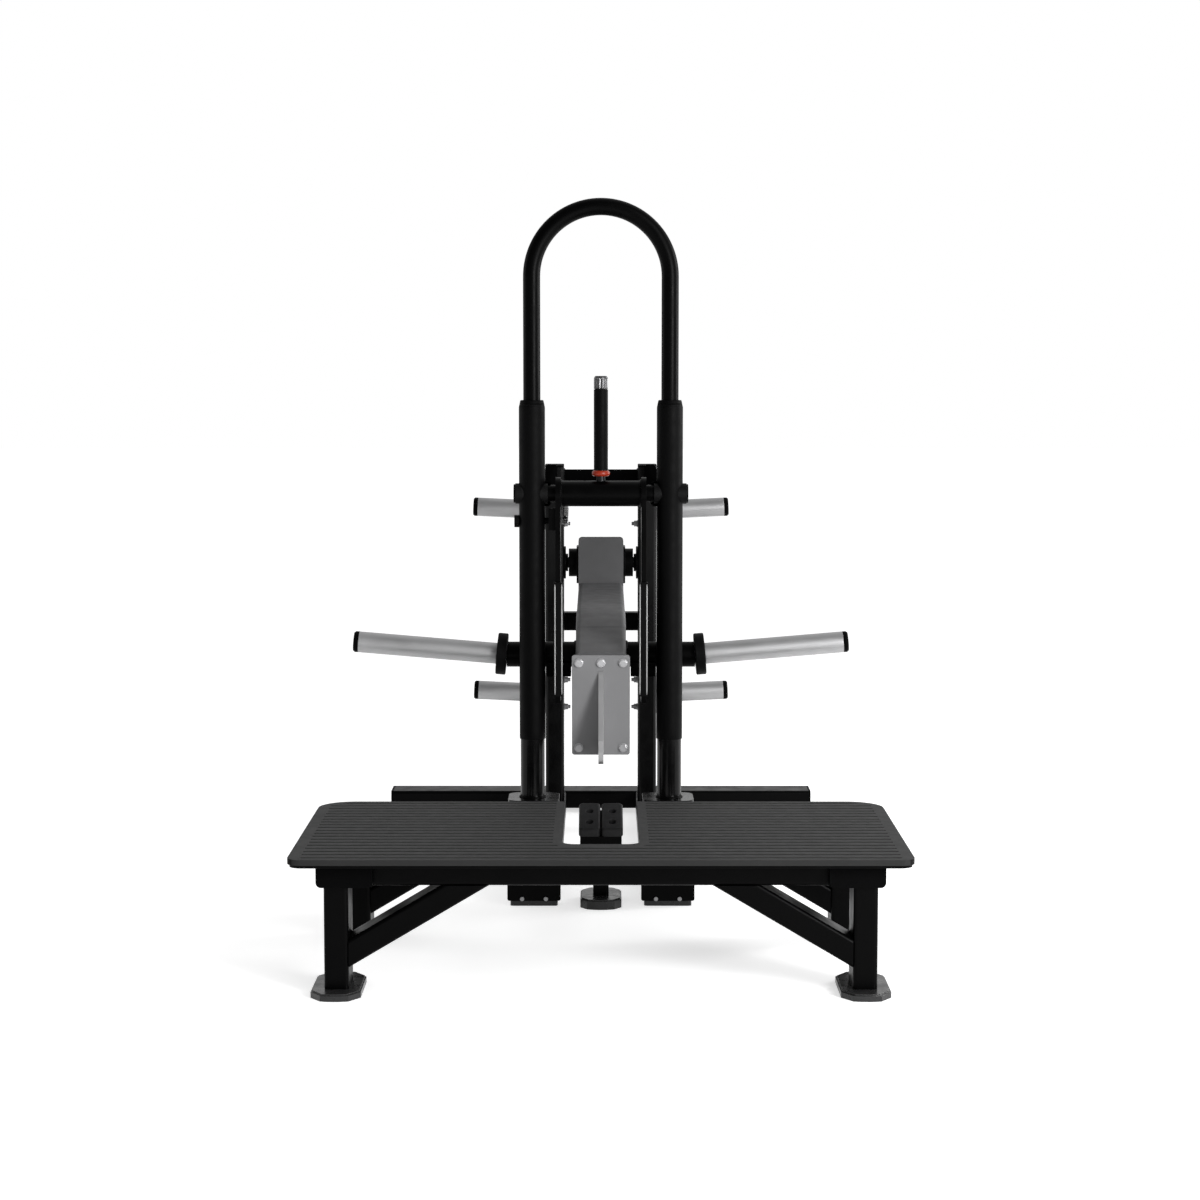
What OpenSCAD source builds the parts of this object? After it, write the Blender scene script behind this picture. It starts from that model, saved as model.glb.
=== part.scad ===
// Belt squat machine: a ribbed standing deck with a notch, two handle posts joined by a
// tall hoop, a weight arm on a rear pivot, and a hand lever whose hooks hold the arm up.
// +X is to the user's right, +Y runs from the deck to the rear beam, and Z = 0 is the floor.

/* [Overall] */
// Length from the deck's front edge to the back of the rear floor beam
overall_l = 2308; // [2280:2:2400]

/* [Deck] */
// Width of the standing deck
deck_w = 1254; // [1230:2:1300]
// Depth of the standing deck
deck_l = 682; // [660:2:700]
// Height of the standing surface above the floor
deck_h = 296; // [290:1:300]
// Thickness of the steel deck plate
deck_plate_t = 6; // [5:1:8]
// Thickness of the rubber mat, ribs included
mat_t = 12; // [10:1:14]
// Depth of the grooves between the ribs
groove_depth = 4; // [2:0.5:5]
// Width of a groove
groove_w = 7; // [4:0.5:8]
// Number of grooves from front to back
groove_count = 20; // [16:1:22]
// Smooth border round the ribbed field
mat_border = 19; // [16:1:26]
// Smooth border beside the ends of the grooves
mat_side = 25; // [20:1:30]
// Radius of the deck's two rear corners
deck_rear_r = 77; // [60:1:90]
// Radius of the deck's two front corners
deck_front_r = 28; // [20:1:40]
// Width of the notch that the belt hangs through
notch_w = 161; // [150:1:168]
// Distance from the deck's front edge to the notch
notch_from_front = 170; // [150:2:190]

/* [Deck frame] */
// Width of the flat tube under each side of the deck
side_rail_w = 114; // [100:2:120]
// Height of all tubes under the deck
rail_h = 50; // [40:1:56]
// Distance from the deck's side edge in to the middle of a side rail
side_rail_inset = 110; // [90:1:120]
// Width of a leg, seen from the front
leg_w = 50; // [44:1:60]
// Depth of a leg from front to back
leg_d = 100; // [80:2:110]
// Distance from the deck's side edge in to the middle of a leg
leg_inset = 91; // [86:1:100]
// Thickness of a rubber foot
foot_t = 15; // [12:1:20]
// Height of a brace's section; it is as deep as the rail it carries
brace_t = 50; // [40:1:50]

/* [Floor frame] */
// Width of the two long floor beams
base_beam_w = 120; // [116:1:126]
// Height of the floor beams and of the rear beam
base_beam_h = 50; // [46:1:56]
// Distance from the middle of the machine to the middle of a floor beam
base_beam_x = 158; // [158:1:162]
// Thickness of the rubber pads under the floor frame
pad_t = 12; // [8:1:15]
// Length of the rear floor beam with its end caps
rear_beam_l = 1192; // [1100:2:1200]
// Depth of the rear floor beam
rear_beam_d = 100; // [90:2:110]

/* [Handle posts] */
// Distance from the deck's front edge to the handle posts
post_from_front = 982; // [970:1:1000]
// Distance from the middle of the machine to a post
post_x = 161; // [160:0.5:164]
// Outer diameter of the posts
post_dia = 57; // [54:0.5:57]
// Outer diameter of the rubber sleeves on the posts
sleeve_dia = 61; // [60:0.5:62]
// Height of the sleeves' lower ends
sleeve_bottom = 395; // [380:1:420]
// Height of the sleeves' upper ends
sleeve_top = 1191; // [1150:1:1220]
// Height of the flanges that the posts stand on
flange_top = 256; // [250:1:262]
// Diameter of the bent handle bar
handle_dia = 40; // [36:1:42]
// Height of the handle's highest point
handle_top = 1658; // [1620:1:1700]

/* [Rear uprights] */
// Distance from the rear of the machine to the uprights' middle
upright_from_rear = 365; // [355:1:370]
// Distance from the middle of the machine to the middle of an upright
upright_x = 125; // [124:1:127]
// Height of the rear uprights with their caps
upright_h = 1001; // [990:1:1010]

/* [Weight arm] */
// Height of the arm's pivot
pivot_h = 735; // [730:1:740]
// Width of the arm's box beam
arm_w = 120; // [112:1:124]
// Height of the arm's box beam
arm_h = 100; // [92:1:102]
// Diameter of the arm's horn tube
horn_tube_dia = 60; // [56:1:62]
// Height of the horn tube with the arm on its hooks
horn_tube_h = 585; // [583:0.5:587]
// Distance from the handle posts back to the horn tube
horn_tube_behind_post = 86; // [84:1:90]
// Diameter of all the weight horns, to take plates with a 50 mm bore
horn_dia = 50; // [48:0.5:50]
// Distance from the middle of the machine to the tip of an arm horn
horn_reach = 589; // [560:2:600]
// Upward tilt of the arm's horns, in degrees
horn_tilt = 4.8; // [3:0.1:6]
// Diameter of the collars that stop the plates
collar_dia = 99; // [90:1:104]
// Thickness of the collars
collar_t = 24; // [18:1:26]
// Width of the belt plate at the arm's end
belt_plate_w = 136; // [130:1:138]
// Height of the belt plate
belt_plate_h = 235; // [228:1:236]
// Thickness of the belt plate
belt_plate_t = 10; // [8:1:12]
// How far the belt hook stands out from its plate
hook_fin_reach = 95; // [85:1:105]
// Thickness of the belt hook
hook_fin_t = 12; // [10:1:14]
// Radius of the hole for the belt's snap hook
hook_fin_hole_r = 13; // [11:0.5:14]

/* [Release lever] */
// Height of the lever's axle
axle_h = 973; // [971:1:976]
// Diameter of the axle
axle_dia = 25; // [20:1:25]
// Diameter of the lever's cross tube
lever_tube_dia = 60; // [58:1:62]
// Thickness of each catch plate
catch_t = 12; // [10:1:12]
// Distance from the middle of the machine to the middle of a catch plate
catch_x = 100; // [99:0.5:101]
// Height of the hand grip's top end
grip_top = 1247; // [1200:1:1260]
// Diameter of the hand grip
grip_dia = 33; // [30:1:36]

/* [Plate storage] */
// Distance from the middle of the machine to the tip of a storage horn
store_reach = 345; // [330:1:360]
// Upward tilt of the storage horns, in degrees
store_tilt = 2.7; // [1:0.1:5]
// Height of the upper storage horns at their roots
store_upper_h = 878; // [872:1:884]
// Height of the lower storage horns at their roots
store_lower_h = 378; // [360:1:400]

/* [Hidden] */
$fn = 48;

// Clearances and shared small sizes
fit = 0.3;          // gap between pieces that seat on each other
running = 0.05;     // radial clearance of a running fit
eps = 0.5;          // overlap that makes one solid of two
tube_wall = 3;
tube_r = 8;         // corner radius of the tubes
cap_t = 6;          // thickness of a tube's end cap
bolt_r = 5;
bolt_head_h = 7;

black = [0.07, 0.07, 0.075];
satin_black = [0.11, 0.11, 0.115];
mat_grey = [0.28, 0.28, 0.28];
rubber = [0.16, 0.16, 0.165];
arm_grey = [0.36, 0.36, 0.37];
steel = [0.66, 0.66, 0.67];
orange = [0.85, 0.2, 0.08];

// Lengthwise stations
front_y = -overall_l / 2;
rear_y = overall_l / 2;
deck_rear_y = front_y + deck_l;
post_y = front_y + post_from_front;
pivot_y = rear_y - upright_from_rear;
horn_tube_y = post_y + horn_tube_behind_post;

// Heights under the deck
rail_top = deck_h - mat_t - deck_plate_t;
rail_bottom = rail_top - rail_h;
plate_inset = 4;                   // how far the steel plate is set back under the mat

// Deck frame stations, measured from the deck's edges
side_rail_front = front_y + 55;
side_rail_rear = deck_rear_y - 2;
rail_d = leg_d - 8;                // depth of the flat front and rear rails
front_rail_y = front_y + 77;       // front face of the front rail
rear_rail_y = side_rail_rear - rail_d;  // front face of the rear rails
leg_front_y = front_rail_y - 1;    // front face of the front legs
leg_rear_y = side_rail_rear - leg_d;
side_rail_x = deck_w / 2 - side_rail_inset;
leg_x = deck_w / 2 - leg_inset;
side_rail_in = side_rail_x - side_rail_w / 2;
notch_rail_x = notch_w / 2 + 4 + rail_h / 2;

// Floor frame
base_top = pad_t + base_beam_h;
post_foot_t = 23;                  // the pad under the stop's post
base_front = post_y - 25;          // front end of the floor beams, flush with the risers
riser_d = 50;
flange_t = 10;
flange_l = 120;
cross_beam_h = 50;
cross_beam_z = 88;

// Handle hoop
hoop_z = handle_top - handle_dia / 2 - post_x;
handle_foot_z = max(sleeve_top - 110, axle_h + 30);  // the hoop's ends, inside the posts
boss_dia = 48;
boss_in = 124;                     // inner end of the axle bosses on the posts
boss_out = 200;

// Weight arm, measured forward (u) and up (w) from its pivot
horn_tube_u = pivot_y - horn_tube_y;
horn_tube_w = horn_tube_h - pivot_h;
plate_front_u = pivot_y - (post_y - 34);
plate_back_u = plate_front_u - belt_plate_t;
belt_plate_top = horn_tube_h + 11 - pivot_h;
hub_dia = 76;
hub_half = 87;
cheek_t = 5;
shaft_dia = 30;
head_front = 61;                   // the upright head of the arm, ahead of the pivot
head_rear = 45;                    // and behind it
head_fall = 9;                     // its top falls to the rear, in degrees
head_top = 75;
beam_top_w = -49;                  // height of the beam's upper edge over the pivot's plane
tube_depth = 41.7;                 // the horn tube's middle below the beam's upper edge
bend_turn = 12;                    // the beam's change of slope at its bend, in degrees
rear_slope = atan((beam_top_w - horn_tube_w - tube_depth - 36.4) / horn_tube_u);
front_slope = rear_slope + bend_turn;
bend_r = 1000;                     // radius of the beam's upper edge along its bend
bend_start = horn_tube_u - 275;
bend_lap = 4;                      // how far the straight lengths run into the bend
bend_swell = 0.4;                  // the bend stands this far proud of them

// Rear uprights
upright_top = max(upright_h, axle_h + 28);
upright_w = 50;
upright_d = 100;
upright_in = upright_x - upright_w / 2;   // inner face of an upright
upright_foot_t = 10;
cross_t = 50;                      // section of the cross members
cross_drop = 192;                  // from the pivot down to the mid cross member's underside
tie_w = 30;
tie_h = 60;

// Release lever
lever_half = catch_x - catch_t / 2;
web_front = -42;                   // front edge of a catch plate, from the axle
web_rear = 20;
rest_angle = atan(horn_tube_behind_post / (axle_h - horn_tube_h));  // slope of the catch pads
rest_y = horn_tube_behind_post + (horn_tube_dia / 2 + fit) * sin(rest_angle);
rest_z = horn_tube_h - axle_h - (horn_tube_dia / 2 + fit) * cos(rest_angle);
shelf_top = rest_z - 10;
catch_low = rest_z - 73.5;            // lower end of the catch plates
web_front_top = catch_low + 286;      // upper end of the guards on their front edges
ring_z = axle_h + 39;              // underside of the coloured ring
pin_drop = 64.5;                     // the stop pin's height below the axle
pin_r = 8;
drum_r = 20;
drum_t = 14;

module mirror_x() {
    children();
    mirror([1, 0, 0]) children();
}

// A rectangle with rounded corners, centred
module round_rect(w, h, r) {
    square([w - 2 * r, h], center = true);
    square([w, h - 2 * r], center = true);
    for (x = [-1, 1], y = [-1, 1])
        translate([x * (w / 2 - r), y * (h / 2 - r)]) circle(r);
}

// The section of a hollow tube with rounded corners
module tube_section(w, h) {
    difference() {
        round_rect(w, h, tube_r);
        round_rect(w - 2 * tube_wall, h - 2 * tube_wall, tube_r - tube_wall);
    }
}

module tube_z(w, d, z0, z1) {
    translate([0, 0, z0]) linear_extrude(z1 - z0) tube_section(w, d);
}

// A tube along Y whose bottom is at z
module tube_y(w, h, y0, y1, z) {
    translate([0, y1, z + h / 2]) rotate([90, 0, 0]) linear_extrude(y1 - y0) tube_section(w, h);
}

// A tube along X whose front is at y and bottom at z
module tube_x(x0, x1, d, h, y, z) {
    translate([x0, y + d / 2, z + h / 2]) rotate([90, 0, 90])
        linear_extrude(x1 - x0) tube_section(d, h);
}

module rod_x(x0, x1, r) {
    translate([x0, 0, 0]) rotate([0, 90, 0]) cylinder(h = x1 - x0, r = r);
}

module hex_bolt(r = bolt_r, head = bolt_head_h) {
    cylinder(h = head, r = r * 1.8, $fn = 6);
}

// The deck's outline with its notch, drawn in by inset on every side
module deck_outline(inset) {
    w = deck_w / 2 - inset;
    y0 = front_y + inset;
    y1 = deck_rear_y - inset;
    rf = deck_front_r - inset / 2;
    rr = deck_rear_r - inset;
    nw = notch_w / 2 + inset;
    ny = front_y + notch_from_front - inset;
    nr = 28;
    difference() {
        union() {
            translate([-w, y0 + rf]) square([2 * w, y1 - rr - y0 - rf]);
            translate([-w + rf, y0]) square([2 * (w - rf), y1 - rr - y0]);
            translate([-w + rr, y0 + rf]) square([2 * (w - rr), y1 - y0 - rf]);
            for (s = [-1, 1]) {
                translate([s * (w - rf), y0 + rf]) circle(rf);
                translate([s * (w - rr), y1 - rr]) circle(rr, $fn = 96);
            }
        }
        translate([-nw, ny + nr]) square([2 * nw, deck_l]);
        translate([-nw + nr, ny]) square([2 * (nw - nr), deck_l]);
        for (s = [-1, 1]) translate([s * (nw - nr), ny + nr]) circle(nr);
    }
}

// The plate under the mat, set back from its edges
module deck_plate() {
    color(black) translate([0, 0, rail_top]) linear_extrude(deck_plate_t) deck_outline(plate_inset);
}

module deck_mat() {
    first = mat_border + groove_w / 2 + 1;
    pitch = (deck_l - 2 * first) / (groove_count - 1);
    color(mat_grey) translate([0, 0, deck_h - mat_t]) difference() {
        linear_extrude(mat_t) deck_outline(0);
        translate([0, 0, mat_t - groove_depth]) linear_extrude(groove_depth + 1) intersection() {
            deck_outline(mat_border);
            for (i = [0 : groove_count - 1])
                translate([-deck_w / 2 + mat_side, front_y + first + i * pitch - groove_w / 2])
                    square([deck_w - 2 * mat_side, groove_w]);
        }
    }
}

module side_rail() {
    translate([side_rail_x, 0, 0])
        tube_y(side_rail_w, rail_h, side_rail_front + cap_t, side_rail_rear - cap_t, rail_bottom);
}

module front_rail() {
    color(black) tube_x(-side_rail_in, side_rail_in, rail_d, rail_h, front_rail_y, rail_bottom);
}

// The rear rails stop at the rails beside the notch
module rear_rails() {
    color(black) mirror_x()
        tube_x(notch_rail_x + rail_h / 2, side_rail_in, rail_d, rail_h, rear_rail_y, rail_bottom);
}

module notch_rails() {
    color(black) mirror_x() translate([notch_rail_x, 0, 0])
        tube_y(rail_h, rail_h, front_rail_y + rail_d, deck_rear_y - 8, rail_bottom);
}

module deck_legs() {
    color(black) mirror_x() for (y = [leg_front_y, leg_rear_y])
        translate([leg_x, y + leg_d / 2, 0]) tube_z(leg_w, leg_d, foot_t, rail_bottom);
}

// A brace from the foot of a leg up to the rail, lying along X
module leg_braces() {
    leg_in = leg_x - leg_w / 2;
    foot_z = 59;
    reach = 285;
    slope = atan((rail_bottom - foot_z) / reach);
    color(black) mirror_x() for (y = [front_rail_y, rear_rail_y])
        intersection() {
            translate([leg_in, 0, foot_z]) rotate([0, slope, 0])
                tube_x(-reach / cos(slope) - brace_t, brace_t, rail_d, brace_t, y, 0);
            translate([leg_in - reach - brace_t, y - 1, 0])
                cube([reach + brace_t, rail_d + 2, rail_bottom]);
        }
}

// A foot with cut corners and bowed ends
module foot_shape(w, l, cut) {
    intersection() {
        polygon([
            [-w / 2, -l / 2 + cut], [-w / 2 + cut * 0.7, -l / 2], [w / 2 - cut * 0.7, -l / 2],
            [w / 2, -l / 2 + cut], [w / 2, l / 2 - cut], [w / 2 - cut * 0.7, l / 2],
            [-w / 2 + cut * 0.7, l / 2], [-w / 2, l / 2 - cut],
        ]);
        circle(l / 2, $fn = 96);
    }
}

module foot(w, l, t, cut) {
    bevel = 3;
    linear_extrude(t - bevel) foot_shape(w, l, cut);
    translate([0, 0, t - bevel - eps]) linear_extrude(bevel + eps)
        foot_shape(w - 2 * bevel, l - 2 * bevel, cut);
}

module rubber_feet() {
    color(rubber) {
        mirror_x() for (y = [leg_front_y, leg_rear_y])
            translate([leg_x + 1, y + leg_d / 2 + 8, 0]) foot(102, 203, foot_t, 36);
        translate([0, post_y, 0]) foot(97, 156, post_foot_t, 30);
    }
}

// Plastic caps that close the open ends of the deck's side rails, uprights and rear beam
module tube_end_caps() {
    color(satin_black) {
        mirror_x() {
            for (y = [side_rail_front, side_rail_rear - cap_t])
                translate([side_rail_x, y + cap_t, rail_bottom + rail_h / 2]) rotate([90, 0, 0])
                    linear_extrude(cap_t) round_rect(side_rail_w, rail_h, tube_r + 3);
            translate([rear_beam_l / 2 - cap_t, rear_y - rear_beam_d / 2, pad_t + base_beam_h / 2])
                rotate([90, 0, 90]) linear_extrude(cap_t)
                    round_rect(rear_beam_d, base_beam_h, tube_r);
            translate([upright_x, pivot_y, upright_top - cap_t]) linear_extrude(cap_t)
                round_rect(upright_w, upright_d, tube_r);
        }
    }
}

// Tubes that run from under the deck's rear rails to the risers
module deck_links() {
    color(black) mirror_x() translate([base_beam_x, 0, 0])
        tube_y(rail_h, rail_h, rear_rail_y, base_front, rail_bottom - rail_h);
}

module base_beam() {
    translate([base_beam_x, 0, 0])
        tube_y(base_beam_w, base_beam_h, base_front, rear_y - rear_beam_d, pad_t);
}

module riser() {
    translate([base_beam_x, post_y, 0])
        tube_z(base_beam_w, riser_d, base_top, flange_top - flange_t);
}

// Bolted plates that close the floor beams at the front
module base_end_plates() {
    plate_h = base_beam_h + 6;
    color(black) mirror_x() difference() {
        translate([base_beam_x, base_front, pad_t + plate_h / 2]) rotate([90, 0, 0])
            linear_extrude(cap_t) round_rect(base_beam_w + 6, plate_h, 5);
        for (s = [-1, 1]) translate([base_beam_x + s * 28, base_front, pad_t + 5])
            rotate([90, 0, 0]) translate([0, 0, -1]) cylinder(h = cap_t + 2, r = 3);
    }
}

module rear_beam() {
    half = rear_beam_l / 2 - cap_t;
    color(black) tube_x(-half, half, rear_beam_d, base_beam_h, rear_y - rear_beam_d, pad_t);
}

module base_pads() {
    color(rubber) mirror_x() {
        translate([base_beam_x, base_front + 36, 0]) linear_extrude(pad_t) round_rect(112, 84, 8);
        translate([rear_beam_l / 2 - 70, rear_y - rear_beam_d / 2, 0])
            linear_extrude(pad_t) round_rect(110, rear_beam_d - 8, 8);
        translate([base_beam_x, rear_y - rear_beam_d / 2, 0])
            linear_extrude(pad_t) round_rect(112, rear_beam_d - 8, 8);
    }
}

module front_cross_beam() {
    half = base_beam_x - base_beam_w / 2;
    color(black) tube_x(-half, half, riser_d, cross_beam_h, post_y - riser_d / 2, cross_beam_z);
}

module stop_post() {
    color(black) translate([0, post_y, 0]) tube_z(37, 46, post_foot_t, cross_beam_z);
}

// The two rubber blocks lie on a sloping mount, square to the arm as it comes down
stop_slope = 21.8;
stop_l = 120;
stop_t = 21;
stop_w = 50.5;
stop_front_y = post_y - 49;
stop_front_z = 168;

module stop_mount() {
    top_z = cross_beam_z + cross_beam_h;
    drop = 3;
    rear_u = stop_l * cos(stop_slope);
    rear_z = stop_front_z + stop_l * sin(stop_slope);
    color(black) translate([-49, 0, 0]) rotate([90, 0, 90]) linear_extrude(98) polygon([
        [stop_front_y + drop, stop_front_z + drop * tan(stop_slope) - fit],
        [stop_front_y + drop, top_z],
        [post_y + riser_d / 2 - drop, top_z],
        [stop_front_y + rear_u, rear_z - 14],
        [stop_front_y + rear_u, rear_z - fit],
    ]);
}

module stop_bumper() {
    color(rubber) translate([0, stop_front_y, stop_front_z]) rotate([stop_slope, 0, 0])
        difference() {
            translate([1.5 + stop_w / 2, stop_l / 2, 0]) linear_extrude(stop_t)
                round_rect(stop_w, stop_l, 9);
            for (y = [34, 82]) translate([1.5 + stop_w / 2, y, 6]) cylinder(h = stop_t, r = 9);
        }
}

module rear_upright() {
    translate([upright_x, pivot_y, 0])
        tube_z(upright_w, upright_d, base_top + upright_foot_t - eps, upright_top - cap_t);
    translate([base_beam_x, pivot_y, base_top]) linear_extrude(upright_foot_t)
        round_rect(base_beam_w - 2, upright_d + 70, 6);
}

module mid_cross_member() {
    half = upright_x + upright_w / 2;
    color(black)
        tube_x(-half, half, cross_t, cross_t, pivot_y + upright_d / 2, pivot_h - cross_drop);
}

module top_cross_member() {
    color(black) tube_x(-upright_in, upright_in, cross_t, cross_t, pivot_y - cross_t / 2,
        upright_top - cap_t - cross_t - 8);
}

// A level tube from a handle post to a rear upright, coped round the post's boss
module tie() {
    tie_x = boss_in - 7 + tie_w / 2;
    difference() {
        translate([tie_x, 0, 0])
            tube_y(tie_w, tie_h, post_y, pivot_y - upright_d / 2, axle_h - tie_h / 2);
        translate([0, post_y, axle_h]) rod_x(boss_in - 20, boss_out, boss_dia / 2 + fit);
        translate([post_x, post_y, 0]) cylinder(h = sleeve_top, r = sleeve_dia / 2 + fit);
    }
}

module post_bore() {
    translate([0, post_y, axle_h]) rod_x(boss_in - 1, boss_out + 1, axle_dia / 2 + running);
}

// A handle post with its foot flange and the boss that carries the lever's axle
module post() {
    difference() {
        union() {
            translate([post_x, post_y, flange_top - eps])
                cylinder(h = sleeve_top - 8 - flange_top + eps, r = post_dia / 2);
            translate([base_beam_x, post_y, flange_top - flange_t])
                linear_extrude(flange_t) round_rect(base_beam_w, flange_l, 26);
            translate([0, post_y, axle_h]) rod_x(boss_in, boss_out, boss_dia / 2);
        }
        translate([post_x, post_y, flange_top])
            cylinder(h = axle_h - 60 - flange_top, r = post_dia / 2 - tube_wall);
        translate([post_x, post_y, handle_foot_z])
            cylinder(h = sleeve_top, r = handle_dia / 2 + fit / 2);
        post_bore();
    }
}

module pin_hole(r) {
    translate([0, post_y, axle_h - pin_drop]) rod_x(-boss_out - 20, -catch_x, r);
}

module sleeve_body() {
    translate([post_x, post_y, 0]) difference() {
        rotate_extrude() {
            translate([0, sleeve_bottom]) square([sleeve_dia / 2, sleeve_top - sleeve_bottom - 8]);
            translate([0, sleeve_top - 8 - eps]) square([sleeve_dia / 2 - 8, 8 + eps]);
            translate([sleeve_dia / 2 - 8, sleeve_top - 8]) circle(8);
        }
        translate([0, 0, sleeve_bottom - 1])
            cylinder(h = sleeve_top - 8 - sleeve_bottom + 1 + fit, r = post_dia / 2 + fit / 2);
        cylinder(h = sleeve_top + 1, r = handle_dia / 2 + fit / 2);
    }
}

// A rubber sleeve with the holes that the boss comes through
module sleeve() {
    difference() {
        sleeve_body();
        translate([0, post_y, axle_h]) rod_x(boss_in - 20, boss_out + 1, boss_dia / 2 + fit);
    }
}

module handle_hoop() {
    color(black) translate([0, post_y, 0]) {
        for (s = [-1, 1]) translate([s * post_x, 0, handle_foot_z + fit])
            cylinder(h = hoop_z - handle_foot_z - fit, r = handle_dia / 2);
        translate([0, 0, hoop_z]) rotate([90, 0, 0])
            rotate_extrude(angle = 180, $fn = 96) translate([post_x, 0]) circle(handle_dia / 2, $fn = 48);
    }
}

module lever_axle() {
    color(steel) translate([0, post_y, axle_h]) {
        rod_x(-boss_out + 4, boss_out - 4, axle_dia / 2);
        mirror_x() rod_x(boss_out + fit, boss_out + 4, boss_dia / 2 - 2);
        mirror_x() rod_x(boss_out - 4 - eps, boss_out + 4, 8);
    }
}

// A headed pin through the left post, with the rubber drum that the lever comes back to
module stop_pin() {
    color(rubber) translate([0, post_y, axle_h - pin_drop]) {
        rod_x(-post_x - sleeve_dia / 2 - 11, -post_x - sleeve_dia / 2 - 0.2, 14.5);
        rod_x(-post_x - sleeve_dia / 2 - 1, -catch_x - catch_t, pin_r);
        rod_x(-catch_x - catch_t / 2 - 2 - drum_t, -catch_x - catch_t / 2 - 2, drum_r);
    }
}

// One weight horn along X from its root, with a reduced neck there and a cap's seat at the tip
module horn(root_x, reach, h, tilt, neck) {
    len = (reach - root_x) / cos(tilt);
    translate([root_x, 0, h]) rotate([0, 90 - tilt, 0]) difference() {
        union() {
            translate([0, 0, neck]) cylinder(h = len - 12 - neck, r = horn_dia / 2);
            translate([0, 0, -2]) cylinder(h = neck + 2 + eps, r = horn_dia / 2 - 0.3);
        }
        translate([0, 0, 20]) cylinder(h = len, r = horn_dia / 2 - 4);
    }
}

module horn_cap(root_x, reach, h, tilt) {
    len = (reach - root_x) / cos(tilt);
    translate([root_x, 0, h]) rotate([0, 90 - tilt, 0]) translate([0, 0, len - 12 + fit]) {
        cylinder(h = 8, r = horn_dia / 2);
        translate([0, 0, 8 - eps]) cylinder(h = 4 + eps - fit, r1 = horn_dia / 2, r2 = horn_dia / 2 - 3);
        translate([0, 0, -20]) cylinder(h = 20 + eps, r = horn_dia / 2 - 4 - fit / 2);
    }
}

root_plate_t = 8;
store_root = upright_x + upright_w / 2 + root_plate_t;

// Both storage horns of one side, each with its root plate
module storage_horns() {
    translate([0, pivot_y, 0]) for (h = [store_upper_h, store_lower_h]) {
        translate([store_root - root_plate_t, 0, h]) rotate([90, 0, 90])
            linear_extrude(root_plate_t) round_rect(70, 104, 6);
        horn(store_root, store_reach, h, store_tilt, 3);
    }
}

module storage_horn_caps() {
    color(satin_black) mirror_x() translate([0, pivot_y, 0])
        for (h = [store_upper_h, store_lower_h]) horn_cap(store_root, store_reach, h, store_tilt);
}

module pivot_shaft() {
    color(steel) translate([0, pivot_y, pivot_h]) {
        rod_x(-upright_in + 4, upright_in - 4, shaft_dia / 2);
    }
}

// Round flanges on the uprights' inner faces, which hold the ends of the shaft
module pivot_flanges() {
    color(black) mirror_x() translate([0, pivot_y, pivot_h]) difference() {
        union() {
            rod_x(upright_in - 5, upright_in, 44);
            rod_x(hub_half + 2, upright_in, 24);
        }
        rod_x(hub_half, upright_in - 4 + fit, shaft_dia / 2 + running);
    }
}

// Bolt heads and nuts: floor plates, storage horns and uprights' feet
module frame_bolts() {
    color(steel) mirror_x() {
        for (s = [-1, 1]) translate([base_beam_x + s * 28, base_front - cap_t, pad_t + 5])
            rotate([90, 0, 0]) {
                cylinder(h = 4, r = 5);
                translate([0, 0, -cap_t]) cylinder(h = cap_t + eps, r = 3 - fit / 2);
            }
        for (h = [store_upper_h, store_lower_h], dz = [-37, 37])
            translate([upright_in, pivot_y - 5, h + dz]) rotate([0, -90, 0]) {
                cylinder(h = 3, r = 9);
                translate([0, 0, 3 - eps]) cylinder(h = 8, r = 8, $fn = 6);
                translate([0, 0, 3]) cylinder(h = 14, r = bolt_r);
            }
        for (y = [-70, 70]) translate([base_beam_x + 34, pivot_y + y, base_top + upright_foot_t])
            hex_bolt(6, 8);
    }
}

// Height of the beam's upper edge above the pivot, u ahead of it
arc_end = bend_start + bend_r * (sin(front_slope) - sin(rear_slope));
arc_drop = bend_r * (cos(rear_slope) - cos(front_slope));
bend_w = beam_top_w - bend_start * tan(rear_slope);
arc_end_w = bend_w - arc_drop;
function beam_top(u) = arc_end_w - (u - arc_end) * tan(front_slope);

// One straight length of the arm's beam: its upper edge starts at (u, w) and falls forward
module beam_run(u, w, slope, len) {
    translate([0, -u, w]) rotate([slope, 0, 0]) translate([0, 0, -arm_h / 2])
        rotate([90, 0, 0]) linear_extrude(len) round_rect(arm_w, arm_h, 12);
}

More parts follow.
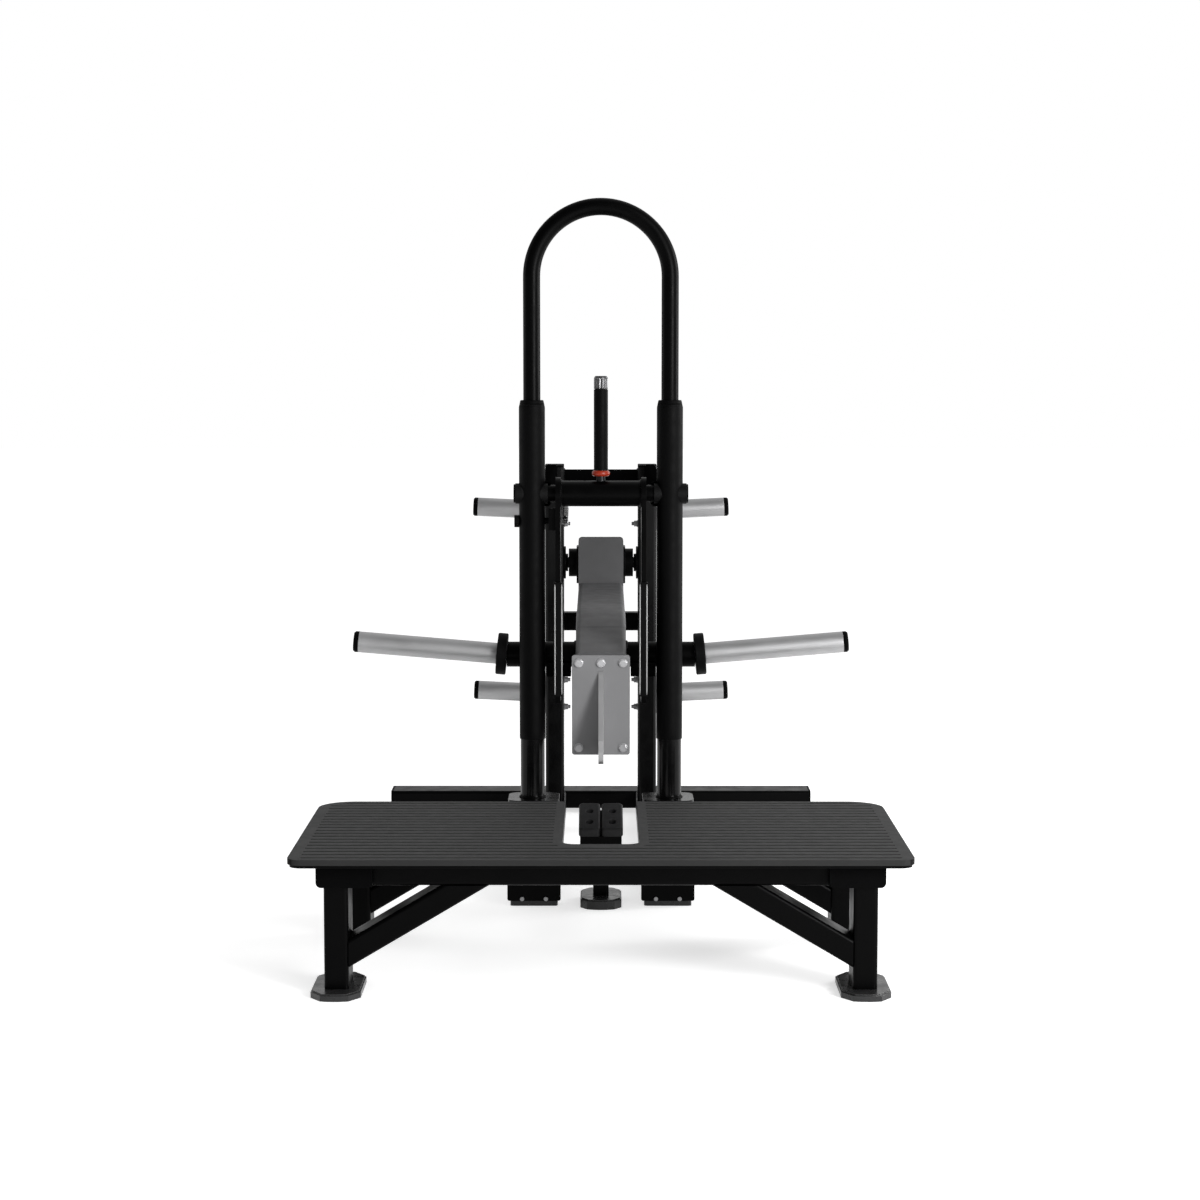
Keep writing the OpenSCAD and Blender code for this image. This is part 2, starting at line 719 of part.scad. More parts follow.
// The arm: a head round the pivot tube, a bent beam and a deep end that carries the belt plate
module arm_beam() {
    end_bottom = belt_plate_top - belt_plate_h + 2;
    bend_centre_w = bend_w - bend_r * cos(rear_slope);
    bend_centre_u = bend_start - bend_r * sin(rear_slope);
    color(arm_grey) translate([0, pivot_y, pivot_h]) difference() {
        union() {
            translate([0, head_rear, 0]) rotate([90, 0, 0]) linear_extrude(head_front + head_rear)
                translate([0, (head_top - 120) / 2]) round_rect(arm_w + 1, head_top + 120, 14);
            beam_run(0, beam_top_w, rear_slope, bend_start / cos(rear_slope) + bend_lap);
            translate([0, -bend_centre_u, bend_centre_w]) rotate([0, -90, 0]) rotate([0, 0, -rear_slope])
                mirror([0, 1, 0]) rotate_extrude(angle = front_slope - rear_slope, $fn = 720)
                    translate([bend_r - arm_h / 2, 0])
                        round_rect(arm_h + 2 * bend_swell, arm_w + 2 * bend_swell, 12 + bend_swell);
            beam_run(arc_end - bend_lap * cos(front_slope), arc_end_w + bend_lap * sin(front_slope),
                front_slope, (plate_back_u - arc_end) / cos(front_slope) + 40);
            translate([-arm_w / 2 + 2, 0, 0]) rotate([90, 0, 90]) linear_extrude(arm_w - 4) polygon([
                [-plate_back_u + fit, belt_plate_top - 3],
                [-plate_back_u + fit, end_bottom],
                [-plate_back_u + 130, end_bottom + 130 * tan(front_slope)],
                [-plate_back_u + 270, beam_top(plate_back_u - 270) - arm_h + 14],
                [-plate_back_u + 200, beam_top(plate_back_u - 200) - 14],
            ]);
        }
        rod_x(-arm_w, arm_w, hub_dia / 2 + fit / 2);
        translate([-arm_w, -head_front, head_top - 1]) rotate([-head_fall, 0, 0])
            translate([0, -50, 0]) cube([2 * arm_w, 300, 100]);
        translate([0, -horn_tube_u, horn_tube_w]) rod_x(-arm_w, arm_w, horn_tube_dia / 2 + fit / 2);
        translate([-arm_w, -plate_back_u - 60, -400]) cube([2 * arm_w, 60 + fit, 500]);
    }
}

// The pivot tube with the cheek plates that stiffen the arm's head
module pivot_hub() {
    color(satin_black) translate([0, pivot_y, pivot_h]) difference() {
        union() {
            rod_x(-hub_half, hub_half, hub_dia / 2);
            mirror_x() translate([(arm_w + 1) / 2 + fit / 2, 0, 0]) rotate([90, 0, 90])
                linear_extrude(cheek_t) translate([-8, -4]) round_rect(92, 100, 20);
        }
        rod_x(-hub_half - 1, hub_half + 1, hub_dia / 2 - 7);
    }
}

module hub_bearings() {
    color(steel) mirror_x() translate([0, pivot_y, pivot_h]) difference() {
        rod_x(hub_half - 24, hub_half - 1, hub_dia / 2 - 7);
        rod_x(hub_half - 25, hub_half, shaft_dia / 2 + running);
    }
}

collar_root = 224;                 // where the horns leave their tube

module horn_tube() {
    color(black) translate([0, horn_tube_y, horn_tube_h]) difference() {
        rod_x(-collar_root, collar_root, horn_tube_dia / 2);
        for (s = [-1, 1]) translate([s * collar_root, 0, 0]) rotate([0, -s * horn_tilt, 0])
            translate([s > 0 ? -1 : -19, -50, -50]) cube([20, 100, 100]);
    }
}

module arm_horn() {
    translate([0, horn_tube_y, 0]) difference() {
        horn(collar_root, horn_reach, horn_tube_h, horn_tilt, collar_t + 1);
        translate([collar_root, 0, horn_tube_h]) rotate([0, -horn_tilt, 0])
            translate([-20, -50, -50]) cube([20, 100, 100]);
    }
}

module horn_collars() {
    color(rubber) mirror_x() translate([collar_root, horn_tube_y, horn_tube_h])
        rotate([0, 90 - horn_tilt, 0]) difference() {
            rotate_extrude($fn = 72) {
                square([collar_dia / 2 - 3, collar_t]);
                translate([0, 3]) square([collar_dia / 2, collar_t - 6]);
                for (z = [3, collar_t - 3]) translate([collar_dia / 2 - 3, z]) circle(3);
            }
            translate([0, 0, -1]) cylinder(h = collar_t + 2, r = horn_dia / 2 + fit / 2);
        }
}

module horn_end_caps() {
    color(satin_black) mirror_x() translate([0, horn_tube_y, 0])
        horn_cap(collar_root, horn_reach, horn_tube_h, horn_tilt);
}

module belt_plate() {
    w0 = belt_plate_top - belt_plate_h;
    color(steel) translate([0, pivot_y - plate_back_u, pivot_h]) difference() {
        translate([0, 0, (belt_plate_top + w0) / 2]) rotate([90, 0, 0])
            linear_extrude(belt_plate_t) round_rect(belt_plate_w, belt_plate_h, 6);
    }
}

// The belt hook: a fin that leans forward to a round nose with the snap hook's hole
module belt_hook() {
    top = belt_plate_top - 38;
    nose_r = 32;
    nose_u = hook_fin_reach - nose_r;
    nose_w = belt_plate_top - belt_plate_h + 20;
    color(steel) translate([-hook_fin_t / 2, pivot_y - plate_front_u - 0.1, pivot_h])
        rotate([90, 0, 90]) linear_extrude(hook_fin_t) difference() {
            union() {
                polygon([
                    [0, top], [0, nose_w - 14], [-nose_u, nose_w - nose_r],
                    [-hook_fin_reach, nose_w], [-hook_fin_reach + 2, nose_w + 26],
                ]);
                translate([-nose_u, nose_w]) circle(nose_r);
            }
            translate([-nose_u, nose_w]) circle(hook_fin_hole_r);
        }
}

module belt_plate_bolts() {
    rows = [[-52, -18], [0, -18], [52, -18], [-52, 17 - belt_plate_h], [52, 17 - belt_plate_h]];
    color(steel) translate([0, pivot_y - plate_front_u, pivot_h + belt_plate_top]) for (p = rows)
        translate([p[0], 0, p[1]]) rotate([90, 0, 0]) {
            cylinder(h = 2, r = 10.5);
            translate([0, 0, 2 - eps]) cylinder(h = 6, r = 9, $fn = 6);
        }
}

module lever_tube() {
    color(black) translate([0, post_y, axle_h]) difference() {
        rod_x(-lever_half, lever_half, lever_tube_dia / 2);
        rod_x(-lever_half - 1, lever_half + 1, axle_dia / 2 + running);
    }
}

// The side view of a catch plate: an eye on the axle, a long web and a foot behind it
module catch_outline() {
    eye_r = 38;
    foot_rear = horn_tube_behind_post + 28;
    difference() {
        union() {
            circle(eye_r);
            polygon([[-eye_r + 3, -14], [web_front, -120], [web_rear, -120], [eye_r - 3, -14]]);
            polygon([
                [web_front, -119], [web_front, catch_low + 20], [web_front + 16, catch_low],
                [foot_rear - 44, catch_low], [foot_rear, catch_low + 40], [foot_rear, shelf_top],
                [web_rear + 14, shelf_top], [web_rear, shelf_top + 24], [web_rear, -119],
            ]);
        }
        circle(axle_dia / 2 + 3);
    }
}

// Height of a catch pad's upper face, which stands square to the line from tube to axle
function pad_z(y) = rest_z + (y - rest_y) * tan(rest_angle);

// The pad that the horn tube rests on, with a lip in front of the tube
module catch_pad() {
    pad_rear = horn_tube_behind_post + 26;
    pad_front = horn_tube_behind_post - 34;
    pad_low = rest_z - 20;
    lip_top = rest_z + 12;
    pad_in = belt_plate_w / 2 + 3;
    pad_out = post_x - sleeve_dia / 2 - 1.5;
    translate([pad_in, post_y, axle_h]) rotate([90, 0, 90]) linear_extrude(pad_out - pad_in) polygon([
        [pad_front, pad_low], [pad_rear, pad_low], [pad_rear, pad_z(pad_rear)],
        [pad_front + 8, pad_z(pad_front + 8)], [pad_front + 8, lip_top],
        [pad_front + 3, lip_top], [pad_front, lip_top - 3],
    ]);
}

module catch_pads() {
    color(black) mirror_x() difference() {
        catch_pad();
        translate([catch_x - catch_t / 2, post_y, axle_h - 1000])
            cube([catch_t + fit, 400, 1000 + shelf_top + fit]);
    }
}

// The tab that meets the drum on the stop pin when the lever is let go
module stop_tab() {
    front = -drum_r - fit;
    translate([catch_x + catch_t / 2 - 1, post_y + front - 8, axle_h - pin_drop - 20])
        cube([drum_t + 3, 8, 52]);
}

module catch_plate() {
    translate([catch_x - catch_t / 2 + fit, post_y, axle_h]) rotate([90, 0, 90])
        linear_extrude(catch_t - fit) catch_outline();
    translate([0, post_y, axle_h]) difference() {
        rod_x(catch_x + catch_t / 2 - eps, boss_in - fit, 20);
        rod_x(catch_x, boss_in, axle_dia / 2 + running);
    }
}

// The rubber guards on the front edges of the catch plates
module catch_guards() {
    guard_w = 21;
    guard_top = web_front_top;
    guard_low = catch_low + 19;
    color(rubber) mirror_x() translate([catch_x - guard_w / 2, post_y + web_front, axle_h])
        difference() {
            union() {
                translate([0, -8, guard_low + 6]) cube([guard_w, 24, guard_top - guard_low - 12]);
                for (z = [guard_low + 6, guard_top - 6]) translate([guard_w / 2, -8, z])
                    rotate([-90, 0, 0]) intersection() {
                        cylinder(h = 24, r = guard_w / 2);
                        translate([-guard_w, -6, 0]) cube([2 * guard_w, 12, 30]);
                    }
            }
            translate([guard_w / 2 - catch_t / 2 - fit / 2, -fit, guard_low - 20])
                cube([catch_t + fit, 40, guard_top - guard_low + 40]);
        }
}

module lever_stem() {
    color(satin_black) translate([0, post_y, axle_h]) difference() {
        cylinder(h = grip_top - axle_h - 20, r = 10.5);
        rod_x(-20, 20, lever_tube_dia / 2 + fit / 2);
    }
    color(steel) translate([0, post_y, grip_top - 31]) difference() {
        cylinder(h = 31, r = 13.5);
        translate([0, 0, -1]) cylinder(h = 12, r = 10);
    }
}

module lever_grip() {
    color(rubber) translate([0, post_y, ring_z + 17]) difference() {
        cylinder(h = grip_top - 31 - fit - ring_z - 17, r = grip_dia / 2);
        translate([0, 0, -1]) cylinder(h = grip_top, r = 10.5 + fit / 2);
    }
}

module grip_ring() {
    color(orange) translate([0, post_y, ring_z]) difference() {
        rotate_extrude() {
            square([18, 16.7]);
            translate([0, 4]) square([22, 8.7]);
            for (z = [4, 12.7]) translate([18, z]) circle(4);
        }
        translate([0, 0, -1]) cylinder(h = 30, r = 10.5 + fit / 2);
    }
}

module on_left() {
    mirror([1, 0, 0]) children();
}

deck_plate();
deck_mat();
front_rail();
rear_rails();
color(black) on_left() side_rail();  // side_rail_left
color(black) side_rail();  // side_rail_right
notch_rails();
deck_legs();
leg_braces();
rubber_feet();
tube_end_caps();
deck_links();
color(black) on_left() base_beam();  // base_beam_left
color(black) base_beam();  // base_beam_right
color(black) on_left() riser();  // riser_left
color(black) riser();  // riser_right
base_end_plates();
rear_beam();
base_pads();
front_cross_beam();
stop_post();
stop_mount();
mirror_x() stop_bumper();  // stop_bumpers
color(black) on_left() rear_upright();  // rear_upright_left
color(black) rear_upright();  // rear_upright_right
mid_cross_member();
top_cross_member();
color(black) on_left() tie();  // tie_left
color(black) tie();  // tie_right
color(black) difference() {  // post_left
    on_left() post();
    pin_hole(pin_r + fit / 2);
}
color(black) post();  // post_right
color(satin_black) difference() {  // sleeve_left
    on_left() sleeve();
    pin_hole(pin_r + fit / 2);
}
color(satin_black) sleeve();  // sleeve_right
handle_hoop();
lever_axle();
stop_pin();
color(steel) on_left() storage_horns();  // storage_horns_left
color(steel) storage_horns();  // storage_horns_right
storage_horn_caps();
pivot_shaft();
pivot_flanges();
frame_bolts();
arm_beam();
pivot_hub();
hub_bearings();
horn_tube();
color(steel) mirror_x() arm_horn();  // arm_horns
horn_collars();
horn_end_caps();
belt_plate();
belt_hook();
belt_plate_bolts();
lever_tube();
color(black) on_left() {  // catch_plate_left
    catch_plate();
    stop_tab();
}
color(black) catch_plate();  // catch_plate_right
catch_pads();
catch_guards();
lever_stem();
lever_grip();
grip_ring();
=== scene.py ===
import math

import bpy
import bmesh
from mathutils import Matrix, Vector


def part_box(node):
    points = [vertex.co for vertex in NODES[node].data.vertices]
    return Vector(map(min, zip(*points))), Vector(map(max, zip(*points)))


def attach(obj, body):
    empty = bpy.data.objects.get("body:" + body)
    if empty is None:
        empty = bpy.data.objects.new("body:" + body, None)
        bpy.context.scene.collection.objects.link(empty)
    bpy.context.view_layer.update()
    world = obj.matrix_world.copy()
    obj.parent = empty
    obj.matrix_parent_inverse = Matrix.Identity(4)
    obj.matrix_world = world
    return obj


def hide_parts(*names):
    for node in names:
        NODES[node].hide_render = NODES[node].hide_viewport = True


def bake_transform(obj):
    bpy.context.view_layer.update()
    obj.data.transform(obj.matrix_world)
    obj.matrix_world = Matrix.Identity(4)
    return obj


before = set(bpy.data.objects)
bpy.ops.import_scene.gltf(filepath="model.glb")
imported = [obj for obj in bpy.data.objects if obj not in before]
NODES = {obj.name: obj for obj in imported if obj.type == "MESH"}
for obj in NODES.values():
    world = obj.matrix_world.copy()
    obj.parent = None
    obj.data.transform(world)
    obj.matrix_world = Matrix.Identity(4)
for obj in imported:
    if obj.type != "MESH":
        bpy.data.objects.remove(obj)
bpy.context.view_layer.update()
scene = bpy.context.scene

# Camera: lens and sensor in mm, height and distance from the middle in m, pitch in degrees
CAM_LENS = 78
CAM_SENSOR = 36
CAM_HEIGHT = 1.295
CAM_BACK = 6.251
CAM_PITCH = 5.377
CAM_SHIFT_X = -0.9 / 1200  # 0.9 of the photograph's 1200 pixels
CAM_CLIP = 60


def make_camera():
    cam = bpy.data.cameras.new("camera")
    cam.lens = CAM_LENS
    cam.sensor_width = CAM_SENSOR
    cam.sensor_fit = "HORIZONTAL"
    cam.shift_x = CAM_SHIFT_X
    cam.clip_end = CAM_CLIP
    obj = bpy.data.objects.new("camera", cam)
    obj.location = (0, -CAM_BACK, CAM_HEIGHT)
    obj.rotation_euler = (math.radians(90 - CAM_PITCH), 0, 0)
    scene.collection.objects.link(obj)
    scene.camera = obj


make_camera()

# Node trees
NOISE_LOW, NOISE_HIGH = 0.3, 0.7  # most values of a noise lie between them
BEVEL_SAMPLES = 6
WORN_RADIUS = 0.0025
GRAIN_DEPTH = 0.0004
FINE_GRAIN_DEPTH = 0.0003


class Tree:
    """A short way to write the node tree of a material or a world."""

    def __init__(self, owner):
        owner.use_nodes = True
        self.tree = owner.node_tree

    def add(self, kind, **values):
        node = self.tree.nodes.new(kind)
        for key, value in values.items():
            setattr(node, key, value)
        return node

    def put(self, value, socket):
        """Links another node's output to the socket, or sets a plain value there."""
        if hasattr(value, "is_linked"):
            self.tree.links.new(value, socket)
        else:
            socket.default_value = value

    def math(self, operation, a, b):
        node = self.add("ShaderNodeMath", operation=operation)
        self.put(a, node.inputs[0])
        self.put(b, node.inputs[1])
        return node.outputs[0]

    def remap(self, value, low, high, from_low=NOISE_LOW, from_high=NOISE_HIGH):
        """Turns the range from_low to from_high into low to high."""
        node = self.add("ShaderNodeMapRange")
        self.put(from_low, node.inputs["From Min"])
        self.put(from_high, node.inputs["From Max"])
        self.put(low, node.inputs["To Min"])
        self.put(high, node.inputs["To Max"])
        self.put(value, node.inputs["Value"])
        return node.outputs["Result"]

    def axes(self, vector):
        node = self.add("ShaderNodeSeparateXYZ")
        self.put(vector, node.inputs[0])
        return node.outputs


class Surface(Tree):
    """The node tree of a material, in the object's own coordinates."""

    def __init__(self, name):
        self.mat = bpy.data.materials.new(name)
        super().__init__(self.mat)
        self.bsdf = self.tree.nodes["Principled BSDF"]
        self.coord = self.add("ShaderNodeTexCoord").outputs["Object"]

    def set(self, name, value):
        self.put(value, self.bsdf.inputs[name])

    def noise(self, scale, detail, rough=0.5, stretch=(1, 1, 1)):
        mapping = self.add("ShaderNodeMapping")
        self.put(stretch, mapping.inputs["Scale"])
        self.put(self.coord, mapping.inputs["Vector"])
        tex = self.add("ShaderNodeTexNoise")
        self.put(scale, tex.inputs["Scale"])
        self.put(detail, tex.inputs["Detail"])
        self.put(rough, tex.inputs["Roughness"])
        self.put(mapping.outputs["Vector"], tex.inputs["Vector"])
        return tex.outputs["Fac"]

    def mix(self, fac, a, b):
        """From colour a to colour b; each is a tuple or an output."""
        node = self.add("ShaderNodeMix", data_type="RGBA")
        self.put(fac, node.inputs["Factor"])
        for name, value in (("A", a), ("B", b)):
            self.put((*value, 1) if isinstance(value, tuple) else value, node.inputs[name])
        return node.outputs["Result"]

    def bevel(self, radius):
        node = self.add("ShaderNodeBevel", samples=BEVEL_SAMPLES)
        self.put(radius, node.inputs["Radius"])
        return node.outputs["Normal"]

    def edge(self):
        """1 on a sharp edge, 0 on a flat face."""
        dot = self.add("ShaderNodeVectorMath", operation="DOT_PRODUCT")
        self.put(self.bevel(WORN_RADIUS), dot.inputs[0])
        self.put(self.add("ShaderNodeNewGeometry").outputs["Normal"], dot.inputs[1])
        return self.remap(dot.outputs["Value"], 1.0, 0.0, 0.75, 1.0)

    def bump(self, height, strength, distance, radius):
        """A fine relief, over edges that are rounded to the radius."""
        node = self.add("ShaderNodeBump")
        self.put(strength, node.inputs["Strength"])
        self.put(distance, node.inputs["Distance"])
        self.put(height, node.inputs["Height"])
        self.put(self.bevel(radius), node.inputs["Normal"])
        self.set("Normal", node.outputs["Normal"])


def tone(colour, factor):
    return tuple(min(1.0, value * factor) for value in colour)


# Materials
def paint(name, base, specular, rough=0.36, peel=0.06, edge_lift=2.2, duller=0.0):
    """Powder coat: faint colour drift, orange peel, and edges a little worn and lighter.

    The number duller is added to the roughness at 0.9 m and above, and fades out down to 0.5 m.
    """
    n = Surface(name)
    n.set("Specular IOR Level", specular)
    body = n.mix(n.remap(n.noise(7, 4), 0.0, 1.0), tone(base, 0.85), tone(base, 1.15))
    worn = n.math("MULTIPLY", n.edge(), n.remap(n.noise(60, 3), 0.2, 1.0))
    n.set("Base Color", n.mix(worn, body, tone(base, edge_lift)))
    gloss = n.remap(n.noise(30, 4), rough - 0.05, rough + 0.06)
    if duller:
        gloss = n.math("ADD", gloss, n.remap(n.axes(n.coord)["Z"], 0.0, duller, 0.5, 0.9))
    n.set("Roughness", gloss)
    n.bump(n.noise(650, 2), peel, GRAIN_DEPTH, 0.0012)
    return n.mat


def rubber(name, base, rough=0.55, specular=0.2, grain=0.2, scale=900):
    """Rubber: a dull surface with a fine moulded grain and a little dust."""
    n = Surface(name)
    n.set("Specular IOR Level", specular)
    body = n.mix(n.remap(n.noise(9, 5, 0.6), 0.0, 1.0), tone(base, 0.85), tone(base, 1.18))
    speck = n.remap(n.noise(260, 2), 0.0, 0.35, 0.55, 0.75)
    n.set("Base Color", n.mix(speck, body, tone(base, 1.7)))
    n.set("Roughness", n.remap(n.noise(40, 3), rough - 0.07, rough + 0.07))
    n.bump(n.noise(scale, 3), grain, GRAIN_DEPTH, 0.0015)
    return n.mat


def mat_rubber(name, base):
    """The mat's rubber: dull ribs, painted shade in the grooves, and a front face with less of that
    painted shade.
    """
    n = Surface(name)
    n.set("Specular IOR Level", 0.08)
    body = n.mix(n.remap(n.noise(9, 5, 0.6), 0.0, 1.0), tone(base, 0.95), tone(base, 1.06))
    axes = n.axes(n.coord)
    low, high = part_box("deck_mat")
    # Painted shade: darker below the rib tops, in the grooves, and 0.4 as dark on the front face
    below_top = n.remap(axes["Z"], 1.0, 0.0, high.z - 0.0007, high.z - 0.0001)
    behind_front = n.remap(axes["Y"], 0.4, 1.0, low.y + 0.005, low.y + 0.007)
    groove_painted_shade = n.math("MULTIPLY", below_top, behind_front)
    n.set("Base Color", n.mix(groove_painted_shade, body, tone(base, 0.08)))
    n.set("Roughness", n.remap(n.noise(40, 3), 0.6, 0.7))
    n.bump(n.noise(900, 3), 0.12, GRAIN_DEPTH, 0.0008)
    return n.mat


def plastic(name, base, rough, specular):
    """Moulded plastic: an even colour and a very fine spark-eroded texture."""
    n = Surface(name)
    n.set("Specular IOR Level", specular)
    n.set("Base Color", n.mix(n.remap(n.noise(14, 3), 0, 1), tone(base, 0.9), tone(base, 1.12)))
    n.set("Roughness", n.remap(n.noise(80, 3), rough - 0.05, rough + 0.05))
    n.bump(n.noise(1400, 2), 0.1, FINE_GRAIN_DEPTH, 0.001)
    return n.mat


def steel(name, base, rough, stretch=(1, 1, 1), streak=0.12, metal=1.0):
    """Bare or plated steel: fine drawn lines along the stretched axis, and soft smudges."""
    n = Surface(name)
    n.set("Metallic", metal)
    line = n.remap(n.noise(500, 4, 0.6, stretch), 0.0, 1.0)
    smudge = n.remap(n.noise(11, 5, 0.55), 0.0, 1.0)
    body = n.mix(line, tone(base, 1 - streak), tone(base, 1 + streak))
    n.set("Base Color", n.mix(smudge, body, tone(base, 0.93)))
    n.set("Roughness", n.remap(n.noise(25, 4), rough - 0.06, rough + 0.08))
    n.bump(n.noise(500, 3, 0.6, stretch), 0.06, FINE_GRAIN_DEPTH, 0.001)
    return n.mat


DRAWN_X = (0.02, 1, 1)
DRAWN_Z = (1, 1, 0.05)

FRAME_BLACK = paint("frame_black", (0.0007, 0.0007, 0.00075), specular=0.045, edge_lift=8.0)
POST_BLACK = paint("post_black", (0.0015, 0.0015, 0.0016), specular=0.14, rough=0.2, peel=0.03,
                   duller=0.35)
TIE_BLACK = paint("tie_black", (0.002, 0.002, 0.0021), specular=0.0, rough=0.75)
ARM_GREY = paint("arm_grey", (0.084, 0.084, 0.086), specular=0.15, rough=0.5, edge_lift=1.25)
MAT_RUBBER = mat_rubber("mat_rubber", (0.041, 0.041, 0.041))
FOOT_RUBBER = rubber("foot_rubber", (0.02, 0.02, 0.0205), rough=0.3, specular=0.3, grain=0.08)
BLACK_RUBBER = rubber("black_rubber", (0.002, 0.002, 0.0021), specular=0.06)
BUMPER_RUBBER = rubber("bumper_rubber", (0.011, 0.011, 0.0115), rough=0.5, grain=0.08)
SLEEVE_RUBBER = rubber("sleeve_rubber", (0.0009, 0.0009, 0.001), specular=0.06, grain=0.1,
                       scale=1500)
GRIP_RUBBER = rubber("grip_rubber", (0.001, 0.001, 0.0011), specular=0.06, scale=1200)
CAP_PLASTIC = plastic("cap_plastic", (0.0012, 0.0012, 0.0013), rough=0.6, specular=0.03)
RING_PLASTIC = plastic("ring_plastic", (0.27, 0.02, 0.006), rough=0.3, specular=0.35)
# Painted highlight: a light grey for the light mirrored on the black rubber guards' rounded front
# edges
GUARD_EDGE_PAINTED_HIGHLIGHT = plastic("guard_edge_painted_highlight", (0.36, 0.36, 0.36), rough=0.3, specular=0.5)
HORN_STEEL = steel("horn_steel", (0.42, 0.42, 0.425), rough=0.5, stretch=DRAWN_X, streak=0.03)
PLATE_STEEL = steel("plate_steel", (0.22, 0.22, 0.225), rough=0.4, stretch=DRAWN_Z, streak=0.03,
                    metal=0.3)
BOLT_STEEL = steel("bolt_steel", (0.5, 0.5, 0.51), rough=0.3, metal=0.85)
NUT_STEEL = steel("nut_steel", (0.26, 0.26, 0.265), rough=0.35)
HOOK_STEEL = steel("hook_steel", (0.46, 0.46, 0.465), rough=0.33, stretch=DRAWN_Z, streak=0.03,
                   metal=0.7)
DARK_STEEL = steel("dark_steel", (0.02, 0.02, 0.021), rough=0.3, stretch=(0.05, 1, 1))
CAP_STEEL = steel("cap_steel", (0.12, 0.12, 0.123), rough=0.22)
SPRING_STEEL = steel("spring_steel", (0.14, 0.14, 0.14), rough=0.25)

# The CAD nodes that aren't in the frame's black
LOOKS = {
    "deck_mat": MAT_RUBBER,
    "rubber_feet": FOOT_RUBBER, "base_pads": FOOT_RUBBER,
    "stop_bumpers": BUMPER_RUBBER, "stop_pin": BLACK_RUBBER, "horn_collars": BLACK_RUBBER,
    "catch_guards": BLACK_RUBBER, "catch_pads": BLACK_RUBBER,
    "sleeve_left": SLEEVE_RUBBER, "sleeve_right": SLEEVE_RUBBER,
    "lever_grip": GRIP_RUBBER, "grip_ring": RING_PLASTIC,
    "tube_end_caps": CAP_PLASTIC, "horn_end_caps": CAP_PLASTIC, "storage_horn_caps": CAP_PLASTIC,
    "post_left": POST_BLACK, "post_right": POST_BLACK,
    "rear_upright_left": POST_BLACK, "rear_upright_right": POST_BLACK,
    "arm_beam": ARM_GREY,
    "belt_plate": PLATE_STEEL, "belt_hook": HOOK_STEEL,
    "arm_horns": HORN_STEEL,
    "storage_horns_left": HORN_STEEL, "storage_horns_right": HORN_STEEL,
    "tie_left": TIE_BLACK, "tie_right": TIE_BLACK,
    "top_cross_member": TIE_BLACK,
    "pivot_shaft": DARK_STEEL, "hub_bearings": DARK_STEEL,
    "frame_bolts": NUT_STEEL, "belt_plate_bolts": BOLT_STEEL,
    "lever_stem": DARK_STEEL,
}


def dress(name, obj):
    """Gives a CAD node its material."""
    mesh = obj.data
    mesh.materials.clear()
    mesh.materials.append(LOOKS.get(name, FRAME_BLACK))


for node_name, node_obj in NODES.items():
    dress(node_name, node_obj)


# Tools for the added pieces, all in m
def add_mesh(name, bm, material, body, smooth=True):
    """Makes the bmesh a piece that rides on the body; a piece with None rides on no body."""
    mesh = bpy.data.meshes.new(name)
    bmesh.ops.recalc_face_normals(bm, faces=bm.faces[:])
    bm.to_mesh(mesh)
    bm.free()
    if smooth:
        mesh.shade_smooth()
    mesh.materials.append(material)
    obj = bpy.data.objects.new(name, mesh)
    scene.collection.objects.link(obj)
    if body:
        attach(obj, body)
    return obj


def turn(steps):
    """The angles of one whole turn in equal steps."""
    return [2 * math.pi * j / steps for j in range(steps)]


def bridge(bm, a, b):
    """A band of faces between two rings of as many points."""
    for j in range(len(a)):
        bm.faces.new((a[j], a[(j + 1) % len(a)], b[(j + 1) % len(a)], b[j]))


def ring_edges(bm, ring):
    return [bm.edges.get((ring[j], ring[(j + 1) % len(ring)])) for j in range(len(ring))]


def frame_along(points, closed):
    """For each point of a path, its two directions square to the path."""
    count = len(points)
    out = []
    for i, p in enumerate(points):
        a = points[(i - 1) % count] if closed or i else p
        b = points[(i + 1) % count] if closed or i < count - 1 else p
        t = (b - a).normalized()
        ref = Vector((0, 0, 1)) if abs(t.z) < 0.9 else Vector((0, 1, 0))
        u = t.cross(ref).normalized()
        out.append((u, t.cross(u).normalized()))
    return out


def sweep(bm, points, radius, closed, sides):
    """Adds a round tube along the points; radius is a function of the point's index."""
    rings = [[bm.verts.new(p + (u * math.cos(k) + v * math.sin(k)) * radius(i))
              for k in turn(sides)]
             for i, (p, (u, v)) in enumerate(zip(points, frame_along(points, closed)))]
    for a, b in zip(rings, rings[1:]):
        bridge(bm, a, b)
    if closed:
        bridge(bm, rings[-1], rings[0])
    else:
        bm.faces.new(rings[0])
        bm.faces.new(rings[-1])


def lathe(bm, profile, matrix, steps, shape=None, hollow=False):
    """Turns (radius, height) points round Z and places them by the matrix.

    A hollow profile is a loop and gets no end faces; shape scales the radius by angle and height.
    """
    rings = []
    for r, z in profile:
        ring = []
        for k in turn(steps):
            rr = r * (shape(k, z) if shape else 1.0)
            ring.append(bm.verts.new(matrix @ Vector((rr * math.cos(k), rr * math.sin(k), z))))
        rings.append(ring)
    for a, b in zip(rings, rings[1:]):
        bridge(bm, a, b)
    if hollow:
        bridge(bm, rings[-1], rings[0])
    else:
        bm.faces.new(rings[0])
        bm.faces.new(rings[-1])


def turned(position, axis):
    """A matrix whose Z runs along the axis from the position."""
    rotation = Vector(axis).to_track_quat("Z", "Y").to_matrix().to_4x4()
    return Matrix.Translation(position) @ rotation


# Weld beads
BEAD_RADIUS = 0.0028
BEAD_STEP = 0.0035
BEAD_SIDES = 7
SEAM_POINTS = 72

POST_X = 0.161
POST_Y = -0.172  # the lever's axle and its grip are over it
POST_SEAM_Z = 0.2565
POST_SEAM_RADIUS = 0.0292
